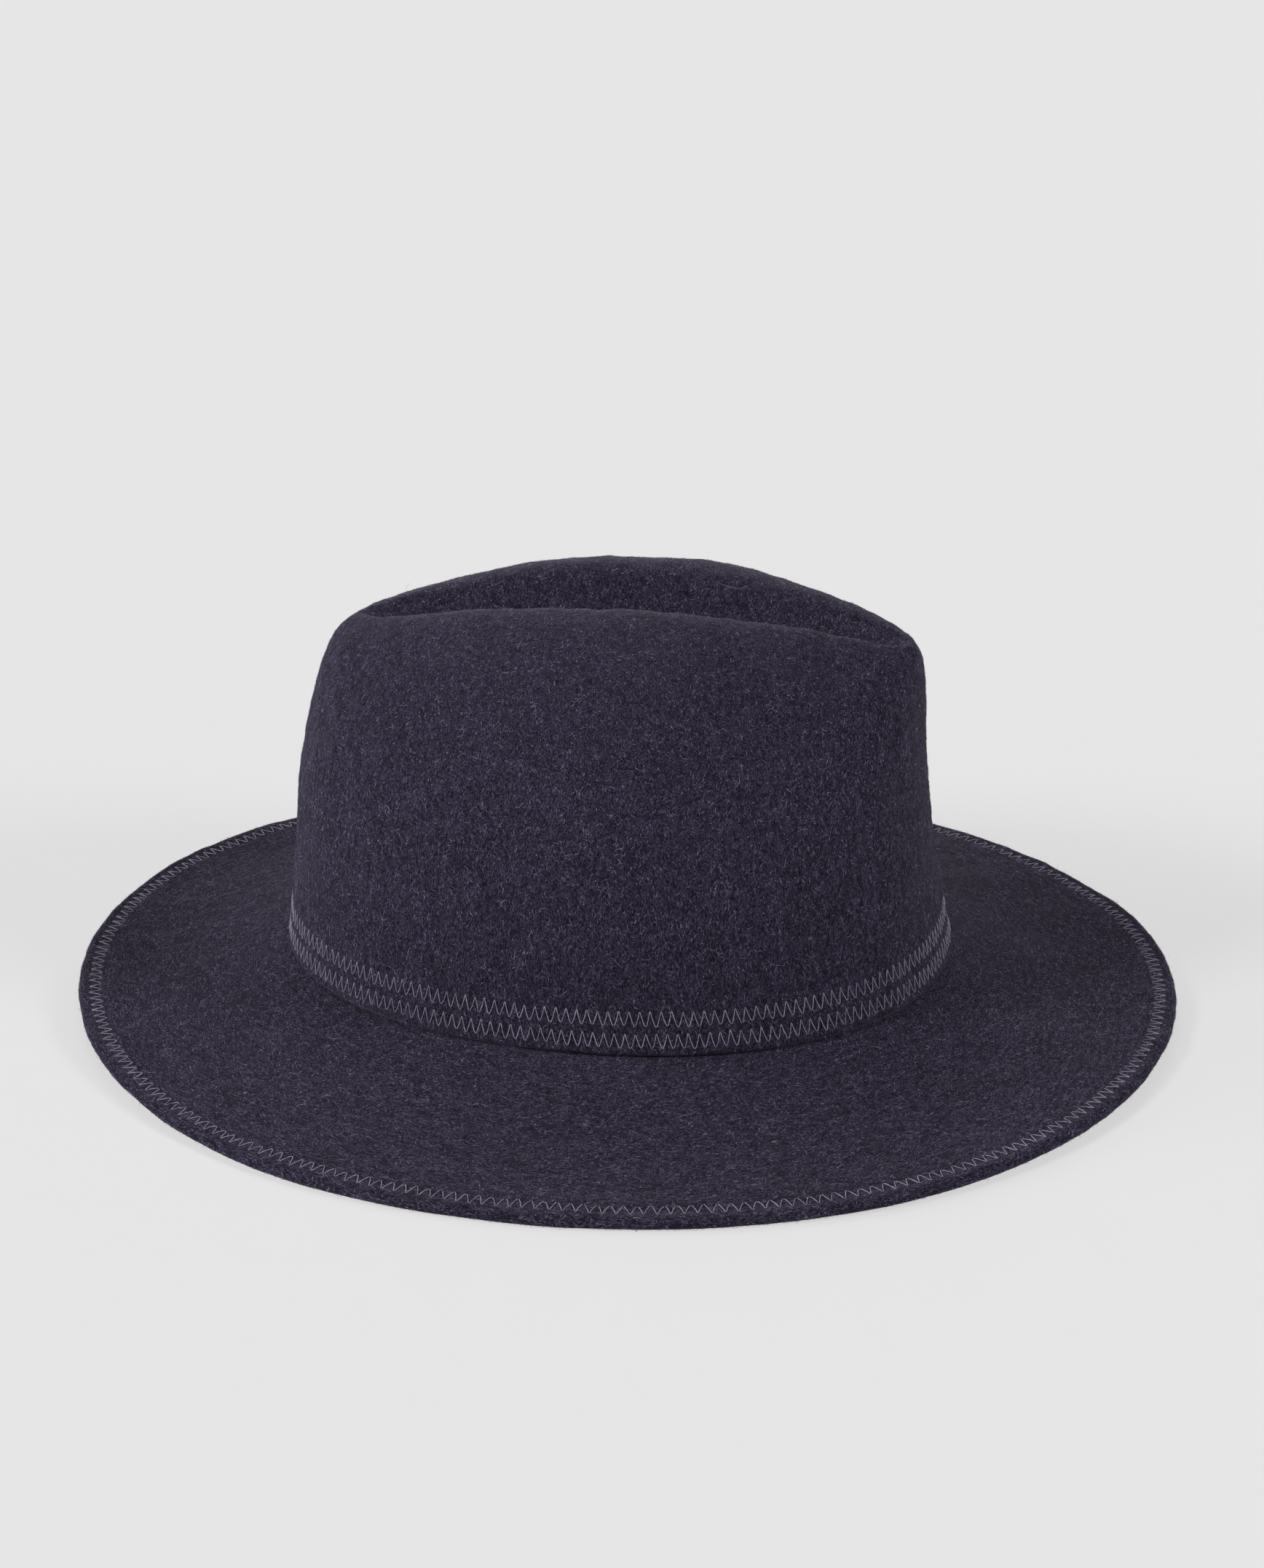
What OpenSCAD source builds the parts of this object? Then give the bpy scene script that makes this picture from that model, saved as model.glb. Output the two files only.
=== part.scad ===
// Fedora hat of two blocked felt pieces: a creased crown lapped over the collar of a
// hemmed brim, with a leather sweatband and a satin lining inside.
// Millimetres. The hat stands on the edge of its brim on z = 0, its front towards -Y.

/* [Head size] */
// Length of the opening inside the sweatband, front to back
head_length = 200; // [184:1:216]
// Width of the opening inside the sweatband
head_width = 164; // [148:1:180]
// Squareness of the oval at the crown's foot, 2 is an ellipse
oval_n = 2.13; // [2:0.01:2.3]

/* [Layers] */
// Thickness of the crown's felt
crown_felt_t = 2; // [1.4:0.1:2.6]
// Thickness of the brim's felt, single
brim_felt_t = 2.2; // [1.6:0.1:2.8]
// Thickness of the reed tape
tape_t = 0.5; // [0.3:0.1:0.8]
// Thickness of the sweatband's leather
sweat_t = 1.1; // [0.8:0.1:1.6]
// Thickness of the lining
lining_t = 0.6; // [0.4:0.1:1]
// Clearance between two layers
layer_gap = 0.3; // [0.2:0.05:0.5]

/* [Crown] */
// Height above the floor of the crown's foot, where its wall starts
crown_z = 22; // [18:0.1:26]
// How far the raw lower edge dips below the foot on the outside, over the brim's bend
edge_drop = 1.2; // [0:0.1:2]
// Height of the ridges above the foot, halfway along the crown
crown_h = 120.1; // [110:0.1:130]
// Drop of the ridges from there to the crown's ends
ridge_fall = 16.8; // [8:0.1:20]
// Extra height of the front over the middle, and of the middle over the back
ridge_tilt = 2.4; // [0:0.1:5]
// How far the front wall is drawn in low down, at its shoulder and at its ridge
front_in = [14.5, 8.7, 20.8]; // [0:0.1:30]
// How far the back wall is drawn in low down, at its shoulder and at its ridge
back_in = [7, 0.8, 11.9]; // [0:0.1:30]
// How far each side wall is drawn in low down and at its shoulder
side_in = [2.5, 10]; // [0:0.1:20]
// Share of the crown's height of the walls' lower and upper pull points
wall_rise = [0.518, 0.88]; // [0.2:0.001:1]

/* [Crease] */
// Distance from the centre line to each ridge at the widest place
ridge_half_w = 18; // [14:0.5:24]
// Depth of the crease below its ridges, halfway along
crease_depth = 24; // [14:1:28]
// Share of the ridges' length that the bottom of the crease has
crease_length = 0.9; // [0.8:0.01:0.95]
// How far the crease lies in front of the crown's middle
crease_forward = 9; // [4:0.5:12]
// Pointedness of the crease's ends, less than 2 is sharper
crease_n = 2.1; // [1.8:0.01:2.2]
// Share of the wall and of the crease that each ridge's rounding takes
ridge_round = [0.08, 0.18]; // [0.02:0.01:0.3]

/* [Front pinch] */
// Depth of the hollow at each side of the front
pinch_depth = 5; // [0:0.5:8]
// Distance of the hollows in front of the crown's middle
pinch_forward = 58; // [50:1:70]
// Height of the hollows above the crown's foot
pinch_h = 95; // [84:1:104]
// Reach of a hollow along the hat and up the crown
pinch_reach = [20, 26]; // [10:1:40]
// Distance from the centre line over which the hollows fade out towards the front
pinch_fade = 20; // [10:1:30]

/* [Brim] */
// Width of the brim at the front
brim_front = 72; // [56:0.5:80]
// Width of the brim at the back
brim_back = 67.5; // [52:0.5:76]
// Width of the brim at each side
brim_side = 73; // [54:0.5:78]
// Squareness of the brim's outline, 2 is an ellipse
brim_n = 2.05; // [2:0.01:2.2]
// Lift of the brim's edge at the front over the sides
lift_front = 2.5; // [0:0.5:6]
// Lift of the brim's edge at the back over the sides
lift_back = 6; // [0:0.5:10]
// Hollow across the brim at the front and back
sag_ends = 5; // [0:0.5:6]
// Hollow across the brim at the sides
sag_sides = 2.5; // [0:0.5:4]
// Width of the hem folded under the edge
hem_w = 9.5; // [7:0.5:14]
// Height of the collar that stands up inside the crown
collar_h = 16.5; // [14:0.5:20]
// Inside radius of the bend between collar and brim
bend_r = 1.8; // [1.5:0.1:4]

/* [Sweatband] */
// Height of the leather band
sweat_h = 48; // [38:1:54]
// Height of the leather's lower edge above the crown's foot
sweat_lift = 1.5; // [0:0.5:4]
// Height of the reed tape
tape_h = 10; // [8:0.5:14]
// Radius of the reed
reed_r = 0.7; // [0.5:0.05:0.8]
// Width of the small bow at the back
bow_w = 24; // [18:1:30]
// Height of the bow's loops
bow_h = 6.8; // [5:0.2:10]
// Thickness of the bow's folded ribbon
bow_t = 1.2; // [0.8:0.1:1.6]
// Width and height of the bow's knot
knot_size = 6; // [4:0.5:8]
// Angle at which the loops lean in from the leather
bow_lean = 12; // [0:1:20]
// Height of the bow's centre above the leather's lower edge
bow_lift = 9; // [7:0.5:14]

/* [Lining] */
// Share of the crown's wall, from its foot to its ridge, where side and tip panels meet
seam_t = 0.6; // [0.5:0.01:0.68]
// Clearance between felt and lining
lining_gap = 0.8; // [0.6:0.1:1.5]
// Height of the lining's lower edge above the collar
lining_lift = 2; // [1:0.5:6]
// Height of the tip panel's middle over the lowest point of its seam
tip_crown = 8; // [2:0.5:12]
// Radius of the piping along that seam
piping_r = 0.9; // [0.6:0.1:1.4]

/* [Mesh] */
// Stations round the hat, a multiple of 4
stations = 64; // [40:4:96]

/* [Hidden] */

felt_color = [0.2, 0.18, 0.235];
leather_color = [0.12, 0.09, 0.075];
satin_color = [0.3, 0.28, 0.34];

// Depths of the layers below the crown's outer face
collar_out = crown_felt_t + layer_gap;
collar_in = collar_out + brim_felt_t;
tape_out = collar_in + layer_gap;
tape_in = tape_out + tape_t;
sweat_out = tape_in + layer_gap;
sweat_in = sweat_out + sweat_t;
lining_out = crown_felt_t + lining_gap;
lining_in = lining_out + lining_t;

// Half length and half width of the crown's foot, outside
foot_l = head_length / 2 + sweat_in;
foot_w = head_width / 2 + sweat_in;
crown_y = (brim_front - brim_back) / 2;

// Height of the brim's upper face where it leaves the bend
flange_z = crown_z - bend_r;
bend_out = bend_r - collar_out;
hem_t = 2 * brim_felt_t;
step = 0.5;

function lerp(a, b, u) = a + (b - a) * u;
function bezier(p, u) = p[0] * pow(1 - u, 3) + 3 * p[1] * u * pow(1 - u, 2)
    + 3 * p[2] * u * u * (1 - u) + p[3] * pow(u, 3);
function signed_pow(v, e) = sign(v) * pow(abs(v), e);
function unit(v) = v / norm(v);
function station(i) = 360 * i / stations;

// ---- the crown's outer face: a is the angle from the front, t runs 0 to 1 up the
// ---- wall to the ridge and 1 to 2 down to the bottom of the crease

function draw_in(half, pulls, u) =
    bezier([half, half - pulls[0], half - pulls[1], half - pulls[2]], u);

function ridge_height(along) = crown_h - ridge_tilt * along - ridge_fall * along * along;

function pinched(p) = let(
        dy = (p[1] - crown_y + pinch_forward) / pinch_reach[0],
        dz = (p[2] - crown_z - pinch_h) / pinch_reach[1],
        dip = pinch_depth * exp(-dy * dy - dz * dz) * min(1, abs(p[0]) / pinch_fade)
    ) [p[0] - sign(p[0]) * dip, p[1], p[2]];

function crown_raw(a, t) = let(
        wall = min(t, 1),
        down = max(t - 1, 0),
        half_l = cos(a) > 0 ? draw_in(foot_l, front_in, wall) : draw_in(foot_l, back_in, wall),
        side = [foot_w, foot_w - side_in[0], foot_w - side_in[1], ridge_half_w],
        half_w = bezier(side, wall) * (1 - down),
        n = lerp(oval_n, crease_n, wall * wall),
        along = -signed_pow(cos(a), 2 / n) * lerp(1, crease_length, down),
        across = signed_pow(sin(a), 2 / n),
        rise = bezier([0, wall_rise[0], wall_rise[1], 1], wall),
        dip = crease_depth * max(0, 1 - along * along) * sin(90 * down)
    ) pinched([
        half_w * across,
        crown_y + half_l * along - crease_forward * wall * wall,
        crown_z + ridge_height(along) * rise - dip]);

// The ridge is rounded by a parabola between the wall and the crease
function crown_at(a, t) = let(
        lo = 1 - ridge_round[0],
        hi = 1 + ridge_round[1],
        u = (t - lo) / (hi - lo)
    ) t <= lo || t >= hi ? crown_raw(a, t)
    : crown_raw(a, lo) * (1 - u) * (1 - u) + crown_raw(a, 1) * 2 * u * (1 - u)
        + crown_raw(a, hi) * u * u;

function crown_normal(a, t) = let(
        dt = t > 1.9 ? -0.02 : 0.02,
        round_way = crown_at(a + step, t) - crown_at(a - step, t),
        up_way = (crown_at(a, t + dt) - crown_at(a, t)) * sign(dt)
    ) unit(cross(round_way, up_way));

// A point at some depth under the crown's outer face
function under_crown(a, t, depth) = crown_at(a, t) - crown_normal(a, t) * depth;

// The wall's share t at a given share of the ridge's height, by Newton's method from t
function wall_share(rise, t, left) = left == 0 ? t : let(
        f = bezier([0, wall_rise[0], wall_rise[1], 1], t) - rise,
        slope = 3 * (wall_rise[0] * pow(1 - t, 2)
            + 2 * (wall_rise[1] - wall_rise[0]) * t * (1 - t) + (1 - wall_rise[1]) * t * t)
    ) wall_share(rise, t - f / slope, left - 1);

// The wall's share t at height h above the crown's foot
function share_at(a, h) = let(rise = max(0, h) / ridge_height(-signed_pow(cos(a), 2 / oval_n)))
    wall_share(rise, rise / (3 * wall_rise[0]), 4);

// A point at some depth inside the wall, at height h above the crown's foot.
// Below the foot the layers hang straight down.
function wall_at(a, h, depth) = let(
        t = share_at(a, h),
        p = crown_raw(a, t),
        way = crown_raw(a + step, t) - crown_raw(a - step, t),
        out = unit([way[1], -way[0]])
    ) [p[0] - out[0] * depth, p[1] - out[1] * depth, crown_z + h];

// ---- the brim: r is the distance outside the crown's foot, measured at the side

function outline(a, r) = let(
        share = max(0, r) / brim_side,
        half_l = foot_l + (r < 0 ? r : share * (cos(a) > 0 ? brim_front : brim_back)),
        n = lerp(oval_n, brim_n, share)
    ) [(foot_w + r) * signed_pow(sin(a), 2 / n), crown_y - half_l * signed_pow(cos(a), 2 / n)];

function brim_top(a, r) = let(
        v = (r - bend_out) / (edge_in - bend_out),
        ends = pow(cos(a), 2),
        lift = cos(a) > 0 ? lift_front : lift_back,
        edge_z = hem_t + lift * ends * ends
    ) lerp(flange_z, edge_z, v) - lerp(sag_sides, sag_ends, ends) * 4 * v * (1 - v);

// A point of the brim at distance r, so far below its upper face
function brim_at(a, r, below) = concat(outline(a, r), [brim_top(a, r) - below]);

// The bend's arc about its centre, from the collar's foot to the flange
function bend_at(a, radius, turn) = concat(
    outline(a, bend_out - radius * cos(turn)), [crown_z - radius * sin(turn)]);

hem_in = brim_side - hem_w;
edge_in = brim_side - brim_felt_t;
flange_steps = [for (k = [1:5]) lerp(bend_out, hem_in, k / 5)];

function brim_section(a) = concat(
    [for (h = [collar_h, collar_h / 2, 0]) wall_at(a, h, collar_out)],
    [for (turn = [30, 60, 90]) bend_at(a, bend_r, turn)],
    [for (r = flange_steps) brim_at(a, r, 0)],
    [brim_at(a, edge_in, 0)],
    [for (turn = [36:36:144])
        brim_at(a, edge_in, brim_felt_t * (1 - cos(turn))) + brim_out(a) * brim_felt_t * sin(turn)],
    [brim_at(a, edge_in, hem_t), brim_at(a, hem_in, hem_t), brim_at(a, hem_in, brim_felt_t)],
    [for (k = [3:-1:0]) brim_at(a, flange_steps[k], brim_felt_t)],
    [for (turn = [90, 60, 30]) bend_at(a, bend_r + brim_felt_t, turn)],
    [for (h = [0, collar_h / 2, collar_h]) wall_at(a, h, collar_in)]);

// The way straight out of the brim's outline
function brim_out(a) = let(way = outline(a + step, brim_side) - outline(a - step, brim_side))
    unit([way[1], -way[0], 0]);

// ---- bodies from sections and rings of points

// Faces between ring k and ring m of a grid of points
function band_faces(k, m) = [for (j = [0:stations - 1]) let(i = (j + 1) % stations)
    [k * stations + i, m * stations + i, m * stations + j, k * stations + j]];

// Faces that close a ring from side to side across the hat
function cap_faces(k, up) = [for (j = [0:stations / 2 - 1]) let(
        p = k * stations + j,
        q = p + 1,
        s = k * stations + (stations - j - 1) % stations,
        v = k * stations + (stations - j) % stations,
        face = j == 0 ? [p, q, s] : j == stations / 2 - 1 ? [p, q, v] : [p, q, s, v]
    ) up ? face : [for (n = [len(face) - 1:-1:0]) face[n]]];

// A closed section carried round the hat
module ring_body(sections) {
    count = len(sections[0]);
    points = [for (k = [0:count - 1]) for (s = sections) s[k]];
    faces = [for (k = [0:count - 1]) each band_faces(k, (k + 1) % count)];
    polyhedron(points, faces, convexity = 8);
}

// Rings from the top outside, down and round to the top inside, closed by caps
module shell_body(rings) {
    faces = [for (k = [0:len(rings) - 2]) each band_faces(k, k + 1)];
    caps = concat(cap_faces(0, false), cap_faces(len(rings) - 1, true));
    polyhedron([for (r = rings) each r], concat(faces, caps), convexity = 8);
}

function ring_of(t, depth) = [for (j = [0:stations - 1]) under_crown(station(j), t, depth)];
lower_edge = [for (j = [0:stations - 1]) wall_at(station(j), -edge_drop, 0)];

// ---- the pieces

crease_steps = [1.94, 1.7, 1.45, 1.18, 1.1, 1.04, 0.98, 0.92];
wall_steps = [0.84, 0.75, 0.66, 0.56, 0.46, 0.36, 0.26, 0.17, 0.08, 0];

module crown() color(felt_color) {
    steps = concat(crease_steps, wall_steps);
    inner = concat([1.94, 1.6, 1.18, 1.06, 0.92], wall_steps);
    shell_body(concat(
        [for (t = steps) ring_of(t, 0)],
        [lower_edge],
        [for (k = [len(inner) - 1:-1:0]) ring_of(inner[k], crown_felt_t)]));
}

module brim() color(felt_color)
    ring_body([for (j = [0:stations - 1]) brim_section(station(j))]);

// A flat band between two depths and two heights over the crown's lower edge
module wall_band(low, high, outer, inner, levels) {
    heights = [for (k = [0:levels]) lerp(low, high, k / levels)];
    ring_body([for (j = [0:stations - 1]) let(a = station(j)) concat(
        [for (k = [levels:-1:0]) wall_at(a, heights[k], outer)],
        [for (h = heights) wall_at(a, h, inner)])]);
}

module sweatband() color(leather_color)
    wall_band(sweat_lift, sweat_lift + sweat_h, sweat_out, sweat_in, 3);

// The reed lies in the corner between the tape and the underside of the brim's bend
reed_depth = tape_out - layer_gap - reed_r;
reed_reach = bend_r + brim_felt_t + layer_gap + reed_r;
reed_drop = sqrt(pow(reed_reach, 2) - pow(bend_out + reed_depth, 2));
tape_low = -reed_drop - reed_r;

module reed_tape() color([0.1, 0.1, 0.11])
    wall_band(tape_low, tape_low + tape_h, tape_out, tape_in, 2);

module reed() color([0.75, 0.75, 0.72])
    ring_body([for (j = [0:stations - 1]) [for (turn = [300:-60:0])
        wall_at(station(j), reed_r * sin(turn) - reed_drop, reed_depth - reed_r * cos(turn))]]);

module sweatband_bow() color([0.1, 0.1, 0.11]) {
    seat = wall_at(180, sweat_lift + bow_lift + knot_size / 2, sweat_in + layer_gap);
    translate(seat) {
        translate([-knot_size / 2, -2 * bow_t, -knot_size]) cube([knot_size, 2 * bow_t, knot_size]);
        for (side = [0, 1]) mirror([side, 0, 0])
            translate([knot_size / 2, -bow_t, -knot_size / 2]) rotate([90, 0, -bow_lean])
                linear_extrude(bow_t) bow_loop((bow_w - knot_size) / 2);
    }
}

// A loop's outline: it widens from the knot to its round end
module bow_loop(reach) {
    round_r = bow_h / 2;
    middle = reach - round_r;
    polygon([[0, -round_r / 2], [middle, -round_r], [middle, round_r], [0, round_r / 2]]);
    translate([middle, 0]) circle(r = round_r, $fn = 32);
}

module lining_side() color(satin_color)
    ring_body([for (j = [0:stations - 1]) let(
            a = station(j),
            low = share_at(a, collar_h + lining_lift)
        ) concat(
        [for (k = [4:-1:0]) under_crown(a, lerp(low, seam_t, k / 4), lining_out)],
        [for (k = [0:4]) under_crown(a, lerp(low, seam_t, k / 4), lining_in)])]);

// The tip panel spans the lining's seam; share 1 is at the seam and 0 at the middle
seam_low = under_crown(0, seam_t, lining_in)[2];
function tip_at(a, share, below) = let(
        rim = under_crown(a, seam_t, lining_in + layer_gap),
        middle = [0, crown_y - crease_forward * seam_t * seam_t, seam_low + tip_crown],
        flat = lerp(middle, rim, share)
    ) [flat[0], flat[1], lerp(middle[2], rim[2], share * share) - below];

module lining_tip() color(satin_color) {
    shares = [0.06, 0.3, 0.55, 0.8, 1];
    rows = [for (k = [0:4]) [for (j = [0:stations - 1]) tip_at(station(j), shares[k], 0)]];
    under = [for (k = [4:-1:0]) [for (j = [0:stations - 1]) tip_at(station(j), shares[k], lining_t)]];
    shell_body(concat(rows, under));
}

module lining_piping() color([0.12, 0.11, 0.14])
    ring_body([for (j = [0:stations - 1]) let(
            a = station(j),
            rim = under_crown(a, seam_t, lining_in + layer_gap + piping_r),
            middle = rim - [0, 0, lining_t + 2 * layer_gap + piping_r],
            way = unit([rim[0], rim[1] - crown_y, 0])
        ) [for (turn = [0:60:300]) middle - way * piping_r * cos(turn)
            + [0, 0, piping_r * sin(turn)]]]);

crown();
brim();
sweatband();
reed_tape();
reed();
sweatband_bow();
lining_side();
lining_tip();
lining_piping();
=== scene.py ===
import math

import bpy
import bmesh
import numpy as np
from mathutils import Matrix, Vector


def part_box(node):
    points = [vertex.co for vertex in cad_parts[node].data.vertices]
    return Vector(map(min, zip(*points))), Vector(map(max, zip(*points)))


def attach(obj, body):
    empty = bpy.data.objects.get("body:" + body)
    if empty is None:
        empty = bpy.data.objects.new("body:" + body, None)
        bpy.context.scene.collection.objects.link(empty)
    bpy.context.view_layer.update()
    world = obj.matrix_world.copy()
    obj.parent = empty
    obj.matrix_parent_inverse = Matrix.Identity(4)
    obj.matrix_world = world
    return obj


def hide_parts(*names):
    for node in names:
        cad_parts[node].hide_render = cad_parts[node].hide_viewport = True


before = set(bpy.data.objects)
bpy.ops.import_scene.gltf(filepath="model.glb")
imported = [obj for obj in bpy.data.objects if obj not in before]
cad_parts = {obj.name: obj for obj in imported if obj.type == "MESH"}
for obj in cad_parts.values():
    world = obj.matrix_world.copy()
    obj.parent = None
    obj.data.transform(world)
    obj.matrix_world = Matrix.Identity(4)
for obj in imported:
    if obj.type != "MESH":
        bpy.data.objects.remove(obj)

# A soft felt fedora: creased crown, hemmed brim, zigzag sewing, leather sweatband and
# satin lining. Sizes are in millimetres, as in the CAD part, and MM takes them to metres.
# The front faces -Y. An angle a runs round the hat from its front, and a depth goes
# inwards from the crown's outer face.
MM = 0.001
TURN = 2 * math.pi
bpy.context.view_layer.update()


def box_mm(node):
    """A CAD node's lowest and highest corner, in millimetres."""
    low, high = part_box(node)
    return np.array(low) / MM, np.array(high) / MM


# ---------------------------------------------------------------- driving sizes

crown_low, crown_high = box_mm("crown")
brim_low, brim_high = box_mm("brim")

# The crown. Each _IN gives how far the wall draws in along its curve up to the ridge.
FOOT_W = (crown_high[0] - crown_low[0]) / 2
FOOT_L = (crown_high[1] - crown_low[1]) / 2
CROWN_Y = (crown_high[1] + crown_low[1]) / 2
EDGE_DROP = 1.2
CROWN_Z = crown_low[2] + EDGE_DROP
CROWN_H = 120.1
OVAL_N = 2.13
RIDGE_FALL = 16.8
RIDGE_TILT = 2.4
FRONT_IN = (14.5, 8.7, 20.8)
BACK_IN = (7, 0.8, 11.9)
SIDE_IN = (2.5, 10)
WALL_RISE = (0.518, 0.88)
RIDGE_HALF_W = 18
CREASE_DEPTH = 24
CREASE_LENGTH = 0.9
CREASE_FORWARD = 9
CREASE_N = 2.1
RIDGE_ROUND = (0.08, 0.18)
PINCH_DEPTH = 5
PINCH_FORWARD = 58
PINCH_H = 95
PINCH_REACH = (20, 26)
PINCH_FADE = 20  # towards the middle plane

# Layers from the crown's outer face inwards
CROWN_FELT = 2.0
BRIM_FELT = 2.2
TAPE_T = 0.5
SWEAT_T = 1.1
LINING_T = 0.6
LAYER_GAP = 0.3
COLLAR_OUT = CROWN_FELT + LAYER_GAP
COLLAR_IN = COLLAR_OUT + BRIM_FELT
TAPE_OUT = COLLAR_IN + LAYER_GAP
TAPE_IN = TAPE_OUT + TAPE_T
SWEAT_OUT = TAPE_IN + LAYER_GAP
SWEAT_IN = SWEAT_OUT + SWEAT_T
LINING_GAP = 0.8
LINING_OUT = CROWN_FELT + LINING_GAP
LINING_IN = LINING_OUT + LINING_T

# The brim. A distance r goes outwards from the crown's foot.
BRIM_FRONT = CROWN_Y - FOOT_L - brim_low[1]
BRIM_BACK = brim_high[1] - CROWN_Y - FOOT_L
BRIM_SIDE = brim_high[0] - FOOT_W
BRIM_N = 2.05
LIFT_FRONT = 2.5
LIFT_BACK = 6
SAG_ENDS = 5
SAG_SIDES = 2.5
HEM_W = 9.5
COLLAR_H = 16.5
BEND_R = 1.8
FLANGE_Z = CROWN_Z - BEND_R
BEND_OUT = BEND_R - COLLAR_OUT
HEM_T = 2 * BRIM_FELT
HEM_START = BRIM_SIDE - HEM_W
EDGE_START = BRIM_SIDE - BRIM_FELT
BRIM_MEAN_R = FOOT_W + BRIM_SIDE / 2

# The inside
SWEAT_LIFT = 1.5
SWEAT_H = 48
TAPE_H = 10
REED_R = 0.7
REED_DEPTH = TAPE_OUT - LAYER_GAP - REED_R
REED_REACH = BEND_R + BRIM_FELT + LAYER_GAP + REED_R
REED_DROP = math.sqrt(REED_REACH**2 - (BEND_OUT + REED_DEPTH) ** 2)
TAPE_LOW = -REED_DROP - REED_R
SEAM_T = 0.6  # the wall's share at the seam of the lining's two pieces
LINING_LIFT = 2
TIP_CROWN = 8
PIPING_R = 0.9

# Sewing: heights of the two joining rows over the crown's edge, and the row on the brim
LOWER_ROW_H = 4.15
UPPER_ROW_H = 11.3
EDGE_ROW_IN = 5.7
JOIN_PITCH = 3.25
EDGE_PITCH = 3.95
STITCH_W = 5.2
EDGE_STITCH_W = 4.7
THREAD_R = 0.12
THREAD_LIFT = 0.13  # of a stitch's middle over the felt
THREAD_SINK = 0.3  # of its ends into the felt
BRIM_PULLED = 0.3  # how far the row pulls the brim's felt in under the thread

# Slopes are taken over STEP, in radians round the hat or in shares of the wall. Past
# BACKWARD_T they are taken backwards, as the crown's rings end at CREASE_END.
STEP = 0.01
BACKWARD_T = 1.9
CREASE_END = 1.985


# ---------------------------------------------------------------- the hat's form

def bezier(p, u):
    v = 1 - u
    return p[0] * v**3 + 3 * p[1] * u * v * v + 3 * p[2] * u * u * v + p[3] * u**3


def signed_pow(v, e):
    return np.sign(v) * np.abs(v) ** e


def unit(v):
    return v / np.maximum(np.linalg.norm(v, axis=-1, keepdims=True), 1e-12)


def draw_in(half, pulls, u):
    return bezier((half, half - pulls[0], half - pulls[1], half - pulls[2]), u)


def wall_rise(t):
    return bezier((0, *WALL_RISE, 1), t)


def ridge_height(along):
    return CROWN_H - RIDGE_TILT * along - RIDGE_FALL * along**2


def crown_raw(a, t):
    """A point of the crown's outer face: t runs from 0 to 1 up the wall to the ridge, and
    from 1 to 2 down into the crease."""
    a, t = np.broadcast_arrays(np.asarray(a, float), np.asarray(t, float))
    wall = np.minimum(t, 1)
    down = np.maximum(t - 1, 0)
    half_l = np.where(
        np.cos(a) > 0, draw_in(FOOT_L, FRONT_IN, wall), draw_in(FOOT_L, BACK_IN, wall))
    side = (FOOT_W, FOOT_W - SIDE_IN[0], FOOT_W - SIDE_IN[1], RIDGE_HALF_W)
    half_w = bezier(side, wall) * (1 - down)
    n = OVAL_N + (CREASE_N - OVAL_N) * wall**2
    along = -signed_pow(np.cos(a), 2 / n) * (1 + (CREASE_LENGTH - 1) * down)
    across = signed_pow(np.sin(a), 2 / n)
    dip = CREASE_DEPTH * np.maximum(0, 1 - along**2) * np.sin(TURN / 4 * down)
    x = half_w * across
    y = CROWN_Y + half_l * along - CREASE_FORWARD * wall**2
    z = CROWN_Z + ridge_height(along) * wall_rise(wall) - dip
    dy = (y - CROWN_Y + PINCH_FORWARD) / PINCH_REACH[0]
    dz = (z - CROWN_Z - PINCH_H) / PINCH_REACH[1]
    hollow = PINCH_DEPTH * np.exp(-dy**2 - dz**2) * np.minimum(1, np.abs(x) / PINCH_FADE)
    return np.stack([x - np.sign(x) * hollow, y, z], -1)


def crown_at(a, t):
    """The outer face with its ridges rounded."""
    a, t = np.broadcast_arrays(np.asarray(a, float), np.asarray(t, float))
    lo, hi = 1 - RIDGE_ROUND[0], 1 + RIDGE_ROUND[1]
    u = ((t - lo) / (hi - lo))[..., None]
    bend = (crown_raw(a, lo) * (1 - u) ** 2 + crown_raw(a, 1) * 2 * u * (1 - u)
            + crown_raw(a, hi) * u * u)
    return np.where(((t > lo) & (t < hi))[..., None], bend, crown_raw(a, t))


def crown_normal(a, t):
    dt = np.where(np.asarray(t) > BACKWARD_T, -STEP, STEP)
    around = crown_at(a + STEP, t) - crown_at(a - STEP, t)
    up = (crown_at(a, t + dt) - crown_at(a, t)) * np.sign(dt)[..., None]
    return unit(np.cross(around, up))


def under_crown(a, t, depth):
    a, t, depth = np.broadcast_arrays(np.asarray(a, float), t, depth)
    return crown_at(a, t) - crown_normal(a, t) * depth[..., None]


def wall_share(a, h):
    """The wall's share t at height h over the crown's lower edge, by Newton's method."""
    first, second = WALL_RISE
    rise = np.maximum(0, h) / ridge_height(-signed_pow(np.cos(a), 2 / OVAL_N))
    t = rise / (3 * first)
    for _ in range(6):
        slope = 3 * (first * (1 - t) ** 2 + 2 * (second - first) * t * (1 - t)
                     + (1 - second) * t * t)
        t = t - (wall_rise(t) - rise) / slope
    return t


def wall_at(a, h, depth):
    """A point at some depth inside the wall, h above the crown's lower edge."""
    a, h, depth = np.broadcast_arrays(np.asarray(a, float), h, depth)
    t = wall_share(a, h)
    p = crown_raw(a, t)
    way = crown_raw(a + STEP, t) - crown_raw(a - STEP, t)
    out = unit(np.stack([way[..., 1], -way[..., 0]], -1))
    return np.stack([p[..., 0] - out[..., 0] * depth, p[..., 1] - out[..., 1] * depth,
                     CROWN_Z + h], -1)


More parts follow.
